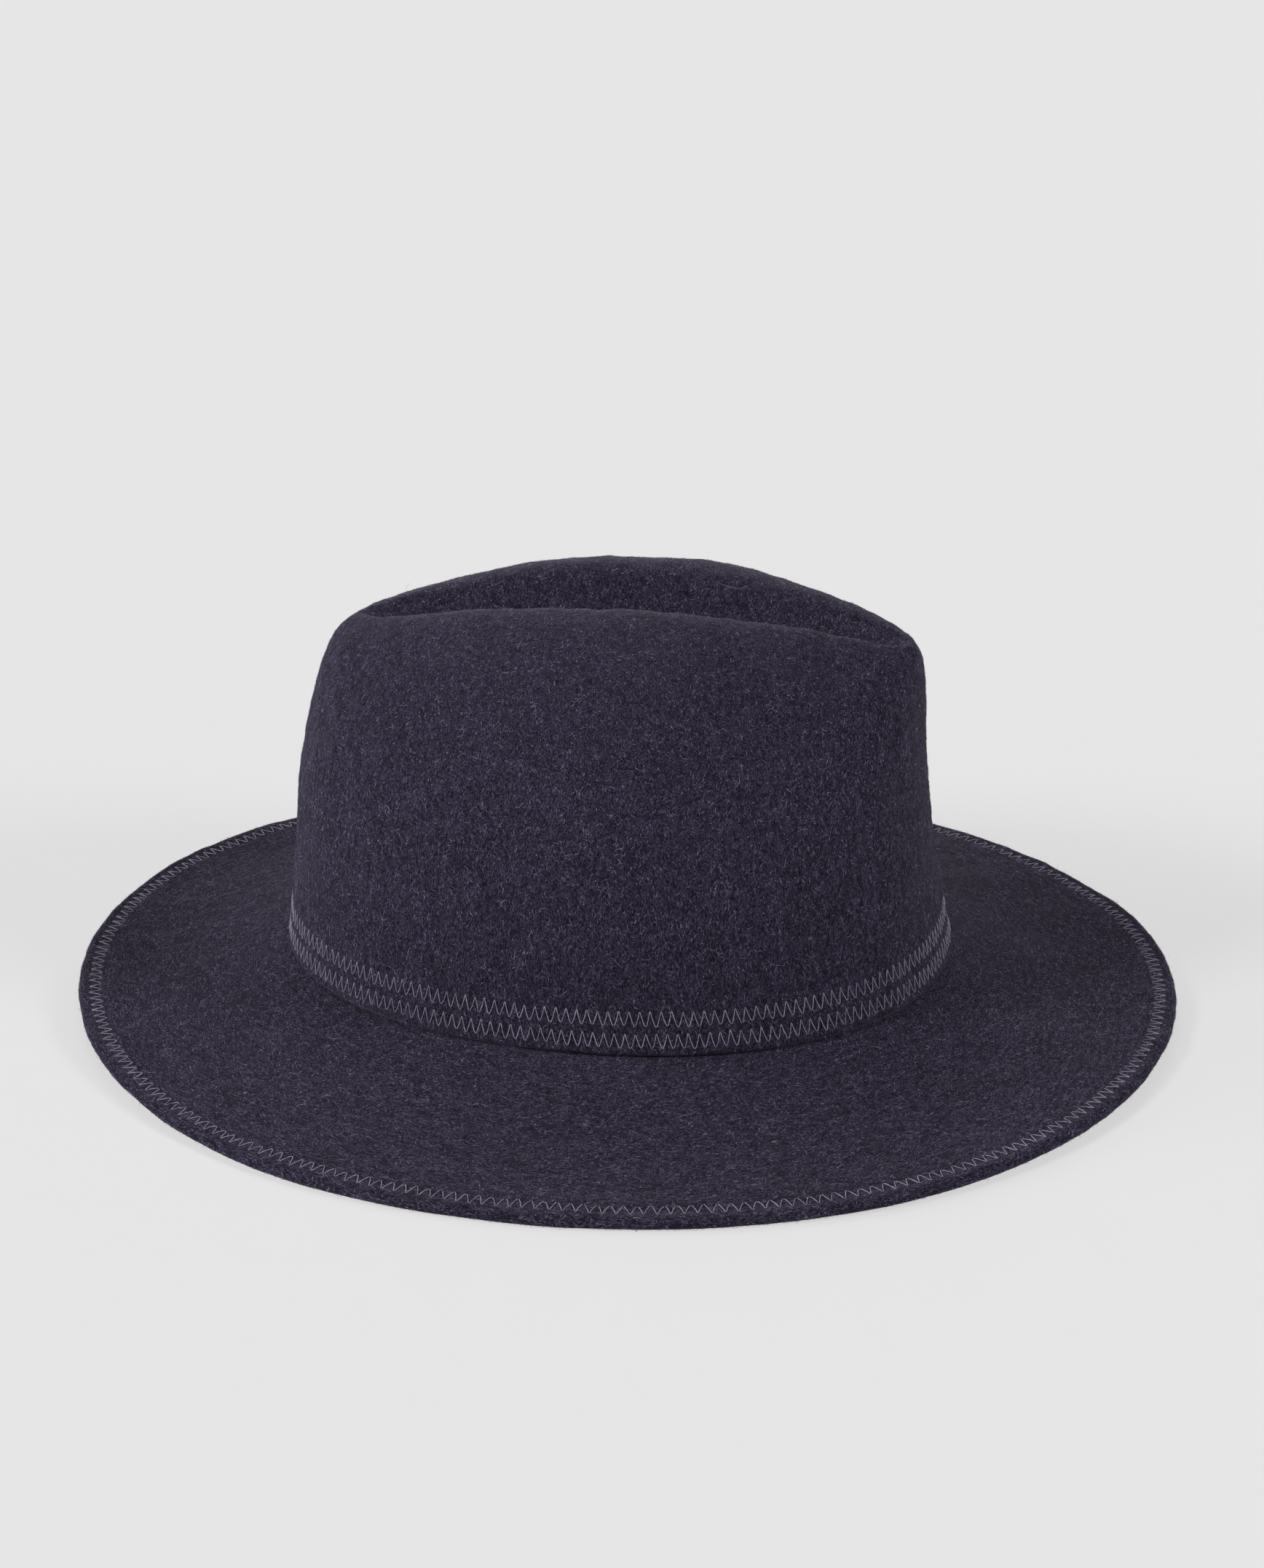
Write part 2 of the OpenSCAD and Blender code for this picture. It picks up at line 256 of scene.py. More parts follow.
def outline(a, r):
    """The brim's plan at distance r outside the crown's foot, measured at the side."""
    a, r = np.broadcast_arrays(np.asarray(a, float), np.asarray(r, float))
    share = np.maximum(0, r) / BRIM_SIDE
    reach = np.where(r < 0, r, share * np.where(np.cos(a) > 0, BRIM_FRONT, BRIM_BACK))
    n = OVAL_N + (BRIM_N - OVAL_N) * share
    return np.stack([(FOOT_W + r) * signed_pow(np.sin(a), 2 / n),
                     CROWN_Y - (FOOT_L + reach) * signed_pow(np.cos(a), 2 / n)], -1)


def brim_top(a, r):
    v = (r - BEND_OUT) / (EDGE_START - BEND_OUT)
    ends = np.cos(a) ** 2
    edge_z = HEM_T + np.where(np.cos(a) > 0, LIFT_FRONT, LIFT_BACK) * ends**2
    sag = SAG_SIDES + (SAG_ENDS - SAG_SIDES) * ends
    return FLANGE_Z + (edge_z - FLANGE_Z) * v - sag * 4 * v * (1 - v)


def brim_at(a, r, below=0.0):
    a, r, below = np.broadcast_arrays(np.asarray(a, float), r, below)
    return np.concatenate([outline(a, r), (brim_top(a, r) - below)[..., None]], -1)


def brim_out(a):
    way = outline(a + STEP, BRIM_SIDE) - outline(a - STEP, BRIM_SIDE)
    return unit(np.stack([way[..., 1], -way[..., 0], np.zeros_like(way[..., 0])], -1))


def bend_at(a, radius, turn):
    """A point of the bend between the brim's collar and its flange."""
    xy = outline(a, BEND_OUT - radius * np.cos(turn))
    z = np.full(xy.shape[:-1] + (1,), CROWN_Z) - radius * np.sin(turn)
    return np.concatenate([xy, z], -1)


# ---------------------------------------------------------------- mesh helpers

def ripple(p, wavelength, seed):
    """Smooth noise of about unit size over points in space, from crossing waves."""
    own = np.random.default_rng(seed)
    waves = 26
    directions = unit(own.normal(size=(waves, 3)))
    lengths = wavelength * own.uniform(0.7, 1.5, (waves, 1))
    phases = own.uniform(0, TURN, waves)
    return np.sin(p @ (directions * TURN / lengths).T + phases).sum(-1) / math.sqrt(waves / 2)


def ripples(p, layers):
    """Ripples added up. Each layer is a height, a wavelength and a seed."""
    return sum(height * ripple(p, wavelength, seed) for height, wavelength, seed in layers)


def grid_normals(grid):
    """Outward normals of a grid of rings; the second axis goes round the hat."""
    around = np.roll(grid, -1, 1) - np.roll(grid, 1, 1)
    along = np.gradient(grid, axis=0)
    return unit(np.cross(along, around))


def stations(count):
    return np.arange(count) * TURN / count


def travelled(path):
    """The distance along a path at each of its points."""
    return np.concatenate([[0], np.cumsum(np.linalg.norm(np.diff(path, axis=0), axis=1))])


def new_object(name, verts, faces, materials, smooth=True, slots=None):
    mesh = bpy.data.meshes.new(name)
    mesh.from_pydata((np.asarray(verts) * MM).tolist(), [], [list(f) for f in faces])
    mesh.polygons.foreach_set("use_smooth", [smooth] * len(mesh.polygons))
    for material in materials if isinstance(materials, list) else [materials]:
        mesh.materials.append(material)
    if slots is not None:
        mesh.polygons.foreach_set("material_index", np.asarray(slots, np.int32))
    mesh.update()
    obj = bpy.data.objects.new(name, mesh)
    bpy.context.scene.collection.objects.link(obj)
    return obj


def ring_faces(rows, count, closed):
    """Quads between rings of a grid; closed joins the last ring to the first."""
    k = np.arange(rows if closed else rows - 1)[:, None]
    j = np.arange(count)[None, :]
    m, i = (k + 1) % rows, (j + 1) % count
    quads = np.stack([k * count + j, k * count + i, m * count + i, m * count + j], -1)
    return quads.reshape(-1, 4)


def cap_faces(start, count):
    """Quads from side to side across a ring, with a triangle at each end."""
    half = start + count // 2
    faces = [[start, start + 1, start + count - 1]]
    for j in range(1, count // 2 - 1):
        faces.append([start + j, start + j + 1, start + count - j - 1, start + count - j])
    return faces + [[half - 1, half, half + 1]]


def face_out(obj):
    mesh = bmesh.new()
    mesh.from_mesh(obj.data)
    bmesh.ops.recalc_face_normals(mesh, faces=mesh.faces)
    mesh.to_mesh(obj.data)
    mesh.free()
    return obj


def ring_object(name, grid, material, closed=True, capped=False):
    rows, count = grid.shape[:2]
    faces = ring_faces(rows, count, closed).tolist()
    if capped:
        faces += cap_faces(0, count) + cap_faces((rows - 1) * count, count)
    return face_out(new_object(name, grid.reshape(-1, 3), faces, material))


def section(across, up, sides):
    """Unit steps round each point of a path, from its two cross directions."""
    turn = stations(sides)
    return (across[:, None] * np.cos(turn)[None, :, None]
            + up[:, None] * np.sin(turn)[None, :, None])


def tube_object(name, path, normals, radius, sides, material, lobes=0.0, lay=1.0):
    """A closed tube along a closed path. lobes and lay give the plies of a twisted thread
    and the length of one turn of them."""
    along = unit(np.roll(path, -1, 0) - np.roll(path, 1, 0))
    across = unit(np.cross(along, normals))
    up = np.cross(across, along)
    twist = stations(sides)[None, :] - TURN * travelled(path)[:, None] / lay
    swell = radius * (1 + lobes * np.cos(2 * twist))
    grid = path[:, None] + section(across, up, sides) * swell[..., None]
    return ring_object(name, grid, material)


def root_piece(obj, slot, *nodes):
    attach(obj, "root")
    if nodes:
        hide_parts(*nodes)
    return obj


# ---------------------------------------------------------------- materials

def grey(level):
    return (level, level, level, 1.0)


def srgb(r, g, b):
    """A display colour of 0 to 255 as linear light."""
    c = np.array([r, g, b]) / 255
    return tuple(np.where(c <= 0.04045, c / 12.92, ((c + 0.055) / 1.055) ** 2.4)) + (1.0,)


class Nodes:
    """A material's tree, with short calls to add and join nodes. Noise scales are per
    metre, and bump distances are in metres."""

    def __init__(self, name):
        self.material = bpy.data.materials.new(name)
        self.material.use_nodes = True
        self.tree = self.material.node_tree
        self.shader = self.tree.nodes["Principled BSDF"]
        self.place = self.tree.nodes.new("ShaderNodeTexCoord").outputs["Object"]

    def fill(self, node, values):
        for key, value in values.items():
            if isinstance(value, bpy.types.NodeSocket):
                self.tree.links.new(value, node.inputs[key])
            else:
                node.inputs[key].default_value = value

    def add(self, kind, values, **props):
        node = self.tree.nodes.new("ShaderNode" + kind)
        for key, value in props.items():
            setattr(node, key, value)
        self.fill(node, values)
        return node

    def stretched(self, scale):
        return self.add("Mapping", {"Vector": self.place, "Scale": scale}).outputs[0]

    def noise(self, scale, detail=2.0, rough=0.5, place=None):
        values = {"Vector": place or self.place, "Scale": scale, "Detail": detail,
                  "Roughness": rough}
        return self.add("TexNoise", values).outputs[0]

    def ramp(self, fac, *stops):
        """A colour ramp. Its two ends come first in stops."""
        node = self.add("ValToRGB", {"Fac": fac})
        elements = node.color_ramp.elements
        for k, (where, colour) in enumerate(stops):
            stop = elements[k] if k < 2 else elements.new(where)
            stop.position = where
            stop.color = colour
        return node.outputs[0]

    def mix(self, fac, a, b, blend="MIX"):
        node = self.add("Mix", {0: fac, 6: a, 7: b}, data_type="RGBA", blend_type=blend)
        return node.outputs[2]

    def shade(self, colour, fac, low, high):
        """The colour multiplied by a ramp of fac between two stops."""
        return self.mix(1.0, colour, self.ramp(fac, low, high), "MULTIPLY")

    def math(self, operation, *values):
        return self.add("Math", dict(enumerate(values)), operation=operation).outputs[0]

    def span(self, value, low, high, start=0.0, end=1.0):
        """Takes start to end of a value to low to high."""
        values = {"Value": value, "From Min": start, "From Max": end,
                  "To Min": low, "To Max": high}
        return self.add("MapRange", values).outputs[0]

    def bump(self, height, distance, strength, **normal):
        values = {"Height": height, "Distance": distance, "Strength": strength, **normal}
        return self.add("Bump", values).outputs[0]

    def finish(self, **sockets):
        self.fill(self.shader, {key.replace("_", " "): v for key, v in sockets.items()})
        return self.material


# Scales of the felt's noise along its grain; under 1 they draw it out
CROWN_GRAIN = 0.42
BRIM_GRAIN = 0.45


def felt_place(n, upright):
    """Noise coordinates stretched along the felt's grain: up the crown or round the brim."""
    if upright:
        return n.stretched((1, 1, CROWN_GRAIN))
    x, y, z = n.add("SeparateXYZ", {"Vector": n.place}).outputs[:3]
    turn = n.math("ARCTAN2", x, n.math("MULTIPLY", y, -1.0))
    squares = n.math("ADD", n.math("MULTIPLY", x, x), n.math("MULTIPLY", y, y))
    around = n.math("MULTIPLY", turn, BRIM_GRAIN * BRIM_MEAN_R * MM)
    return n.add("CombineXYZ", {"X": around, "Y": n.math("SQRT", squares), "Z": z}).outputs[0]


def hair_lines(n, place, scale, width, gate):
    """Thin curly lines along the level curves of a noise, cut into short lengths by a
    second noise, of scale gate."""
    level = n.noise(scale, detail=1.0, place=place)
    off = n.math("ABSOLUTE", n.math("SUBTRACT", level, 0.5))
    line = n.span(off, 1.0, 0.0, end=width)
    cut = n.span(n.noise(gate, detail=1.0, place=place), 0.0, 1.0, start=0.46, end=0.56)
    return n.math("MULTIPLY", line, cut)


def felt_material(name, upright, dark, middle, pale, hair):
    """Melange wool felt: matted fibres of several shades, cloudy, with curly pale hairs."""
    n = Nodes(name)
    place = felt_place(n, upright)
    fibre = n.noise(2500, detail=3.0, rough=0.7, place=place)
    tuft = n.noise(640, rough=0.6, place=place)
    cloud = n.noise(120, detail=3.0, rough=0.6, place=place)
    drift = n.noise(60)
    warm, cold = (1.015, 0.995, 0.995, 1), (0.985, 1.0, 1.01, 1)
    colour = n.ramp(fibre, (0.38, dark), (0.64, pale), (0.50, middle))
    colour = n.shade(colour, tuft, (0.32, grey(0.74)), (0.68, grey(1.28)))
    colour = n.shade(colour, cloud, (0.34, grey(0.92)), (0.66, grey(1.09)))
    colour = n.shade(colour, drift, (0.36, warm), (0.62, cold))
    coarse = hair_lines(n, place, scale=760, width=0.012, gate=420)
    fine = hair_lines(n, place, scale=1150, width=0.016, gate=610)
    lines = n.math("MAXIMUM", coarse, fine)
    colour = n.mix(n.math("MULTIPLY", lines, 0.6), colour, hair)
    normal = n.bump(fibre, distance=0.00025, strength=0.8)
    normal = n.bump(tuft, distance=0.0006, strength=0.6, Normal=normal)
    normal = n.bump(lines, distance=0.00012, strength=0.6, Normal=normal)
    return n.finish(Base_Color=colour, Roughness=n.span(fibre, 0.86, 1.0), Normal=normal,
                    Specular_IOR_Level=0.06, Sheen_Weight=0.16, Sheen_Roughness=0.3,
                    Sheen_Tint=(0.8, 0.76, 0.9, 1))


def nap_material(name, colour):
    n = Nodes(name)
    n.tree.nodes.remove(n.tree.nodes["Texture Coordinate"])
    return n.finish(Base_Color=colour, Roughness=0.8, Specular_IOR_Level=0.12,
                    Sheen_Weight=0.1, Sheen_Roughness=0.3)


def thread_material(name, colour, worn):
    n = Nodes(name)
    shade = n.noise(900, detail=3.0, rough=0.6)
    strand = n.noise(5200, detail=1.0)
    return n.finish(Base_Color=n.ramp(shade, (0.3, worn), (0.7, colour)),
                    Roughness=n.span(strand, 0.42, 0.7),
                    Normal=n.bump(strand, distance=0.00006, strength=0.8),
                    Sheen_Weight=0.25, Sheen_Roughness=0.4)


def leather_material():
    n = Nodes("sweatband leather")
    cells = n.add("TexVoronoi", {"Vector": n.place, "Scale": 900.0},
                  feature="DISTANCE_TO_EDGE").outputs[0]
    creases = n.ramp(cells, (0.0, grey(0.0)), (0.12, grey(1.0)))
    wear = n.noise(45, detail=4.0, rough=0.6)
    grease = n.noise(420)
    colour = n.ramp(wear, (0.32, srgb(44, 34, 30)), (0.68, srgb(70, 54, 46)))
    colour = n.mix(0.35, colour, n.mix(1.0, colour, creases, "MULTIPLY"))
    return n.finish(Base_Color=colour, Roughness=n.span(grease, 0.42, 0.62),
                    Normal=n.bump(creases, distance=0.0001, strength=0.6),
                    Specular_IOR_Level=0.45)


def satin_material(name, dark, light):
    n = Nodes(name)
    weave = n.noise(1.0, rough=0.6, place=n.stretched((900, 900, 5200)))
    drift = n.noise(30)
    colour = n.mix(0.5, n.ramp(drift, (0.3, dark), (0.7, light)),
                   n.ramp(weave, (0.3, dark), (0.7, light)))
    return n.finish(Base_Color=colour, Roughness=n.span(weave, 0.26, 0.42),
                    Normal=n.bump(weave, distance=0.00005, strength=0.5), Anisotropic=0.5,
                    Specular_IOR_Level=0.6, Sheen_Weight=0.3, Sheen_Roughness=0.3)


RIB_AT_UNIT_SCALE = 0.31  # metres between the bands of a wave texture of scale 1


def ribbed_material(name, dark, light, spacing, way):
    """Woven tape or ribbon with ribs along one axis, spacing in metres."""
    n = Nodes(name)
    values = {"Vector": n.place, "Scale": RIB_AT_UNIT_SCALE / spacing, "Distortion": 0.4,
              "Detail": 1.0}
    wave = n.add("TexWave", values, bands_direction=way).outputs[0]
    lint = n.noise(1600)
    colour = n.mix(0.6, n.ramp(wave, (0.2, dark), (0.8, light)),
                   n.ramp(lint, (0.3, dark), (0.75, light)))
    return n.finish(Base_Color=colour, Roughness=n.span(lint, 0.6, 0.85),
                    Normal=n.bump(wave, distance=0.00016, strength=0.8), Sheen_Weight=0.4,
                    Sheen_Roughness=0.4)


def reed_material():
    n = Nodes("milky plastic")
    haze = n.noise(160)
    colour = n.ramp(haze, (0.3, srgb(186, 184, 172)), (0.7, srgb(206, 204, 194)))
    return n.finish(Base_Color=colour, Roughness=n.span(haze, 0.3, 0.45),
                    Subsurface_Weight=0.2, Subsurface_Scale=0.001)


# ---------------------------------------------------------------- felt

# Points in a ring, and rings in each stretch of the skin
CROWN_RING = 480
BRIM_RING = 560
CREASE_RINGS = 26
RIDGE_RINGS = 16
WALL_RINGS = 112
INNER_WALL_RINGS = 30
FLANGE_RINGS = 46
OVER_HEM_RINGS = 11
UNDER_HEM_RINGS = 9
COLLAR_ROWS = 6
BEND_TURNS = np.radians([15, 30, 45, 60, 75, 90])
EDGE_TURNS = np.radians(np.arange(15, 180, 15))
TURNS_ABOVE = 8  # rings of the edge that count as the brim's upper side

# Height, wavelength and seed of the felt's unevenness
CROWN_WAVES = ((0.20, 34, 1), (0.10, 9, 2), (0.04, 3.2, 3))
CROWN_WAVES_FADE = 12  # they reach their full height within the wall's first twelfth
BRIM_WAVES = ((0.15, 40, 11), (0.06, 10, 12), (0.03, 3.2, 13))

# The crown's raw edge: shares of the felt's thickness and of the edge's drop
RAW_EDGE = ((0.05, 0.25), (0.18, 0.6), (0.38, 0.9), (0.6, 1.0), (0.85, 0.9))

# The hem's raw edge, rounded off over LIP_W and LIP_H, and the groove above it
LIP_W = 0.4
LIP_H = 0.5
GROOVE_H = 0.3

PUCKER_DEPTH = 0.35
PUCKER_REACH = 2.6
SEWN_SHARE = 0.5  # the crown's sewn rows lie in this share of its wall
EDGE_ROLL_IN = 0.5
EDGE_ROLL_REACH = 2.5
EVEN_INSIDE = 0.62  # the share of the brim's plan inside which its skin stays even
EVEN_FADE = 0.05
EVEN_HEIGHT = 2  # under this, the relief falls to FLOOR_RELIEF, so that the brim rests
FLOOR_RELIEF = 0.35


def puckers(distance, reach=PUCKER_REACH):
    """How far sewing pulls the felt in, at a distance from the middle of the pull."""
    return -PUCKER_DEPTH * np.exp(-(distance / reach) ** 2)


def crown_relief(p, t):
    """The crown's unevenness, which fades out at its foot, and the pull of its two sewn
    rows, at points of its outer face."""
    h = p[..., 2] - CROWN_Z
    pull = puckers(h - LOWER_ROW_H) + puckers(h - UPPER_ROW_H)
    uneven = ripples(p, CROWN_WAVES) * np.minimum(1, t * CROWN_WAVES_FADE)
    return uneven + pull * (t < SEWN_SHARE)


def brim_relief(p):
    return ripples(p, BRIM_WAVES)


def crown_rings():
    """The crown's outer face, from the crease's middle down to the lower edge, near
    which its rings crowd."""
    crease = np.linspace(CREASE_END, 1.2, CREASE_RINGS)
    ridge = np.linspace(1.18, 0.92, RIDGE_RINGS)
    wall = np.linspace(1, 0, WALL_RINGS) ** 1.15
    t = np.concatenate([crease, ridge, wall[wall < 0.915]])[:, None]
    grid = crown_at(stations(CROWN_RING)[None, :], t)
    return grid + grid_normals(grid) * crown_relief(grid, t)[..., None]


def make_crown(material):
    """Makes the crown and returns the rings of its outer face."""
    outer = crown_rings()
    wall = np.linspace(0, 0.9, INNER_WALL_RINGS)
    top = [0.95, 1.0, 1.06, 1.18, 1.35, 1.6, 1.85, CREASE_END]
    t = np.concatenate([wall, top])[:, None]
    inner = under_crown(stations(CROWN_RING)[None, :], t, CROWN_FELT)
    drop = np.array([0, 0, EDGE_DROP])
    lip = [outer[-1:] + (inner[:1] - outer[-1:]) * share - drop * fall
           for share, fall in RAW_EDGE]
    grid = np.concatenate([outer] + lip + [inner])
    piece = ring_object("crown_felt", grid, material, closed=False, capped=True)
    root_piece(piece, "felt", "crown")
    return outer


def brim_rings():
    """The brim's skin from the collar's top, out over the flange and back under it, and
    the number of its first ring round the edge."""
    a = stations(BRIM_RING)
    flange = np.linspace(BEND_OUT, HEM_START, FLANGE_RINGS)[1:]
    over_hem = np.linspace(HEM_START, EDGE_START, OVER_HEM_RINGS)[1:]
    under_hem = np.linspace(EDGE_START, HEM_START + LIP_W, UNDER_HEM_RINGS)
    rows = [wall_at(a, h, COLLAR_OUT) for h in np.linspace(COLLAR_H, 0, COLLAR_ROWS)]
    rows += [bend_at(a, BEND_R, turn) for turn in BEND_TURNS]
    rows += [brim_at(a, r) for r in flange] + [brim_at(a, r) for r in over_hem]
    first_round = len(rows)
    for turn in EDGE_TURNS:
        rim = brim_at(a, EDGE_START, BRIM_FELT * (1 - np.cos(turn)))
        rows.append(rim + brim_out(a) * BRIM_FELT * np.sin(turn))
    rows += [brim_at(a, r, HEM_T) for r in under_hem]
    rows += [brim_at(a, HEM_START, below) for below in (HEM_T - LIP_H, BRIM_FELT + GROOVE_H)]
    rows += [brim_at(a, r, BRIM_FELT) for r in flange[::-1][1:]]
    rows += [brim_at(a, BEND_OUT, BRIM_FELT)]
    rows += [bend_at(a, BEND_R + BRIM_FELT, turn) for turn in BEND_TURNS[-2::-1]]
    rows += [wall_at(a, h, COLLAR_IN) for h in np.linspace(0, COLLAR_H, COLLAR_ROWS)]
    return np.array(rows), first_round


def make_brim(material):
    """Makes the brim and returns the rings of its upper and of its lower side."""
    grid, first_round = brim_rings()
    normals = grid_normals(grid)
    plan = np.hypot(grid[..., 0] / (FOOT_W + BRIM_SIDE), grid[..., 1] / (FOOT_L + BRIM_FRONT))
    inset = (1 - plan) * (BRIM_SIDE + FOOT_W)
    pull = puckers(inset - EDGE_ROW_IN) + puckers(inset - EDGE_ROLL_IN, EDGE_ROLL_REACH)
    outside = np.clip((plan - EVEN_INSIDE) / EVEN_FADE, 0, 1)
    raised = np.clip(grid[..., 2] / EVEN_HEIGHT, 0, 1)
    share = outside * (FLOOR_RELIEF + (1 - FLOOR_RELIEF) * raised)
    grid = grid + normals * ((brim_relief(grid) + pull) * share)[..., None]
    grid[..., 2] = np.maximum(grid[..., 2], 0)
    root_piece(ring_object("brim_felt", grid, material), "felt", "brim")
    hidden = COLLAR_ROWS + len(BEND_TURNS)
    under = first_round + TURNS_ABOVE
    return grid[hidden:under], grid[under:-hidden]


# ---------------------------------------------------------------- loose fibres

# Shades of the fibres, and the share of each shade in each kind of fibre
NAP_SHADES = {"nap dark": (19, 18, 25), "nap middle": (45, 40, 55), "nap lilac": (90, 82, 111),
              "nap pale": (158, 151, 181), "nap rust": (80, 54, 64)}
FUZZ_SHARES = (0.43, 0.28, 0.17, 0.10, 0.02)
HAIR_SHARES = (0.34, 0.26, 0.23, 0.15, 0.02)
STRAY_SHARES = (0.0, 0.15, 0.5, 0.35, 0.0)

FUZZ = {"length": 0.8, "width": 0.08, "bends": 1, "shares": FUZZ_SHARES}
HAIRS = {"length": 1.25, "width": 0.07, "bends": 2, "shares": HAIR_SHARES}
STRAYS = {"length": 3.4, "width": 0.05, "bends": 5, "shares": STRAY_SHARES}
UNDER_FUZZ = {"length": 1.2, "width": 0.12, "bends": 1, "shares": FUZZ_SHARES}

ROOT_DEPTH = 0.06
FIBRE_LIFT = 0.25
PROUD_LIFT = 0.55  # a further lift, for the tips of the few fibres that stand off
PROUD_OVER = 0.955
FLOOR_CLEAR = 0.02
LENGTH_SPREAD = 0.4
LENGTH_LIMITS = (0.4, 3)  # shares of the usual length
BOW_LIMITS = (0.02, 0.30)  # shares of the fibre's own length
WIDTH_LIMITS = (0.7, 1.3)  # shares of the usual width
SLANT = 0.45
SWIRL = 0.55  # radians
SWIRL_WAVE = 16
SWIRL_SEED = 50  # added to the fibres' own seed


def scatter(grid, count, own, upright):
    """Seeded points on a grid's skin, with the felt's normal and the way of its grain."""
    ring = grid.shape[1]
    normals = grid_normals(grid)
    right = np.roll(grid, -1, 1)
    spans = np.cross(right[:-1] - grid[:-1], grid[1:] - grid[:-1])
    area = np.linalg.norm(spans, axis=-1).ravel()
    cell = own.choice(area.size, count, p=area / area.sum())
    k, j = cell // ring, cell % ring
    i = (j + 1) % ring
    u, v = own.random((2, count, 1))

    def inside(field):
        near = field[k, j] * (1 - u) + field[k, i] * u
        far = field[k + 1, j] * (1 - u) + field[k + 1, i] * u
        return near * (1 - v) + far * v

    n = unit(inside(normals))
    way = grid[k, j] - grid[k + 1, j] if upright else grid[k, i] - grid[k, j]
    way = unit(way - n * (way * n).sum(-1, keepdims=True))
    return inside(grid), n, way


def make_nap(name, grid, materials, upright, count, seed, length, width, bends, shares,
             spread=0.7):
    """Curved fibres on a grid's skin, each a thin strip with some bends. spread is how far
    they turn off the grain, in radians."""
    own = np.random.default_rng(seed)
    each = (count, 1)
    p, n, way = scatter(grid, count, own, upright)
    swirl = ripple(p, SWIRL_WAVE, seed + SWIRL_SEED) * SWIRL
    angle = own.normal(0, spread, count) + swirl + TURN / 2 * own.integers(0, 2, count)
    angle = angle[:, None]
    along = way * np.cos(angle) + np.cross(n, way) * np.sin(angle)
    side = np.cross(n, along)
    long = own.lognormal(math.log(length), LENGTH_SPREAD, each)
    long = np.clip(long, LENGTH_LIMITS[0] * length, LENGTH_LIMITS[1] * length)
    slant = unit(side + n * own.normal(0, SLANT, each))
    bow = side * own.choice((-1, 1), each) * own.uniform(*BOW_LIMITS, each) * long
    verts = [p - n * ROOT_DEPTH]
    for share in np.arange(1, bends + 1) / (bends + 1):
        middle = p + along * long * share + bow * math.sin(math.pi * share)
        middle = middle + n * own.uniform(0.04, FIBRE_LIFT, each)
        half = width / 2 * own.uniform(*WIDTH_LIMITS, each)
        verts += [middle - slant * half, middle + slant * half]
    proud = own.random(each) > PROUD_OVER
    lift = own.uniform(-0.08, FIBRE_LIFT, each) + proud * PROUD_LIFT
    tip = p + along * long * np.where(proud, 0.7, 1) + n * lift
    verts.append(tip - bow * own.uniform(0, 0.5, each))
    verts = np.stack(verts, 1)
    verts[..., 2] = np.maximum(verts[..., 2], FLOOR_CLEAR)
    strip = [[0, 2, 1]] + [[2 * b - 1, 2 * b, 2 * b + 2, 2 * b + 1] for b in range(1, bends)]
    strip.append([2 * bends - 1, 2 * bends, 2 * bends + 1])
    starts = (np.arange(count) * verts.shape[1]).tolist()
    faces = [[start + c for c in face] for start in starts for face in strip]
    slots = np.repeat(own.choice(len(materials), count, p=shares), len(strip))
    piece = new_object(name, verts.reshape(-1, 3), faces, materials, slots=slots)
    root_piece(piece, "felt")


def make_fibres(crown, over, under):
    """Fuzz, hairs and strays on the crown's rings and on the brim's two sides."""
    nap = [nap_material(name, srgb(*shade)) for name, shade in NAP_SHADES.items()]
    on_crown = {"materials": nap, "upright": True}
    on_brim = {"materials": nap, "upright": False}
    make_nap("crown_fuzz", crown, **on_crown, count=98000, seed=61, **FUZZ)
    make_nap("crown_hairs", crown, **on_crown, count=49500, seed=62, **HAIRS)
    make_nap("crown_strays", crown, **on_crown, count=700, seed=66, spread=1.0, **STRAYS)
    make_nap("brim_fuzz", over, **on_brim, count=98000, seed=63, **FUZZ)
    make_nap("brim_hairs", over, **on_brim, count=49500, seed=64, spread=0.6, **HAIRS)
    make_nap("brim_strays", over, **on_brim, count=600, seed=67, spread=0.8, **STRAYS)
    make_nap("under_brim_fuzz", under, **on_brim, count=60000, seed=65, **UNDER_FUZZ)


# ---------------------------------------------------------------- sewing

PATH_STEPS = 4001
THREAD_SIDES = 6
PLY_DEPTH = 0.2  # share of the thread's radius
PLY_TURN = 1.1

# A stitch's points as shares of its length, and how unevenly the rows are sewn
STITCH_SHARES = np.array([0.0, 0.05, 0.13, 0.3, 0.5, 0.7, 0.87, 0.95])
HOLE_ALONG = 0.05  # share of the distance between holes
HOLE_ACROSS = 0.13
THREAD_BOW = 0.01
THREAD_WAVER = 0.015


def zigzag(place, length_of, pitch, width, seed):
    """A closed zigzag thread. place(a, offset, lift) gives points on the felt and its
    normals there, and length_of is the row's own path, which sets the number of stitches."""
    own = np.random.default_rng(seed)
    fine = np.linspace(0, TURN, PATH_STEPS)
    along = travelled(length_of(fine))
    holes = 2 * round(along[-1] / pitch)
    order = np.arange(holes)
    at = (order + own.normal(0, HOLE_ALONG, holes)) / holes * along[-1]
    angle = np.interp(at, along, fine)
    side = np.where(order % 2, 1, -1) * width / 2 + own.normal(0, HOLE_ACROSS, holes)
    share = STITCH_SHARES
    height = THREAD_LIFT - (THREAD_LIFT + THREAD_SINK) * np.abs(2 * share - 1) ** 6
    ahead = np.append(angle[1:], angle[0] + TURN)
    bow = own.normal(0, THREAD_BOW, holes)[:, None] * np.sin(share * TURN / 2)
    a = angle[:, None] + (ahead - angle)[:, None] * (share + bow)
    eased = np.where(order[:, None] % 2, 1 - (1 - share) ** 1.5, share**1.5)
    offset = side[:, None] + (np.roll(side, -1) - side)[:, None] * eased
    lift = height + own.normal(0, THREAD_WAVER, a.shape)
    return place(a.ravel(), offset.ravel(), lift.ravel())


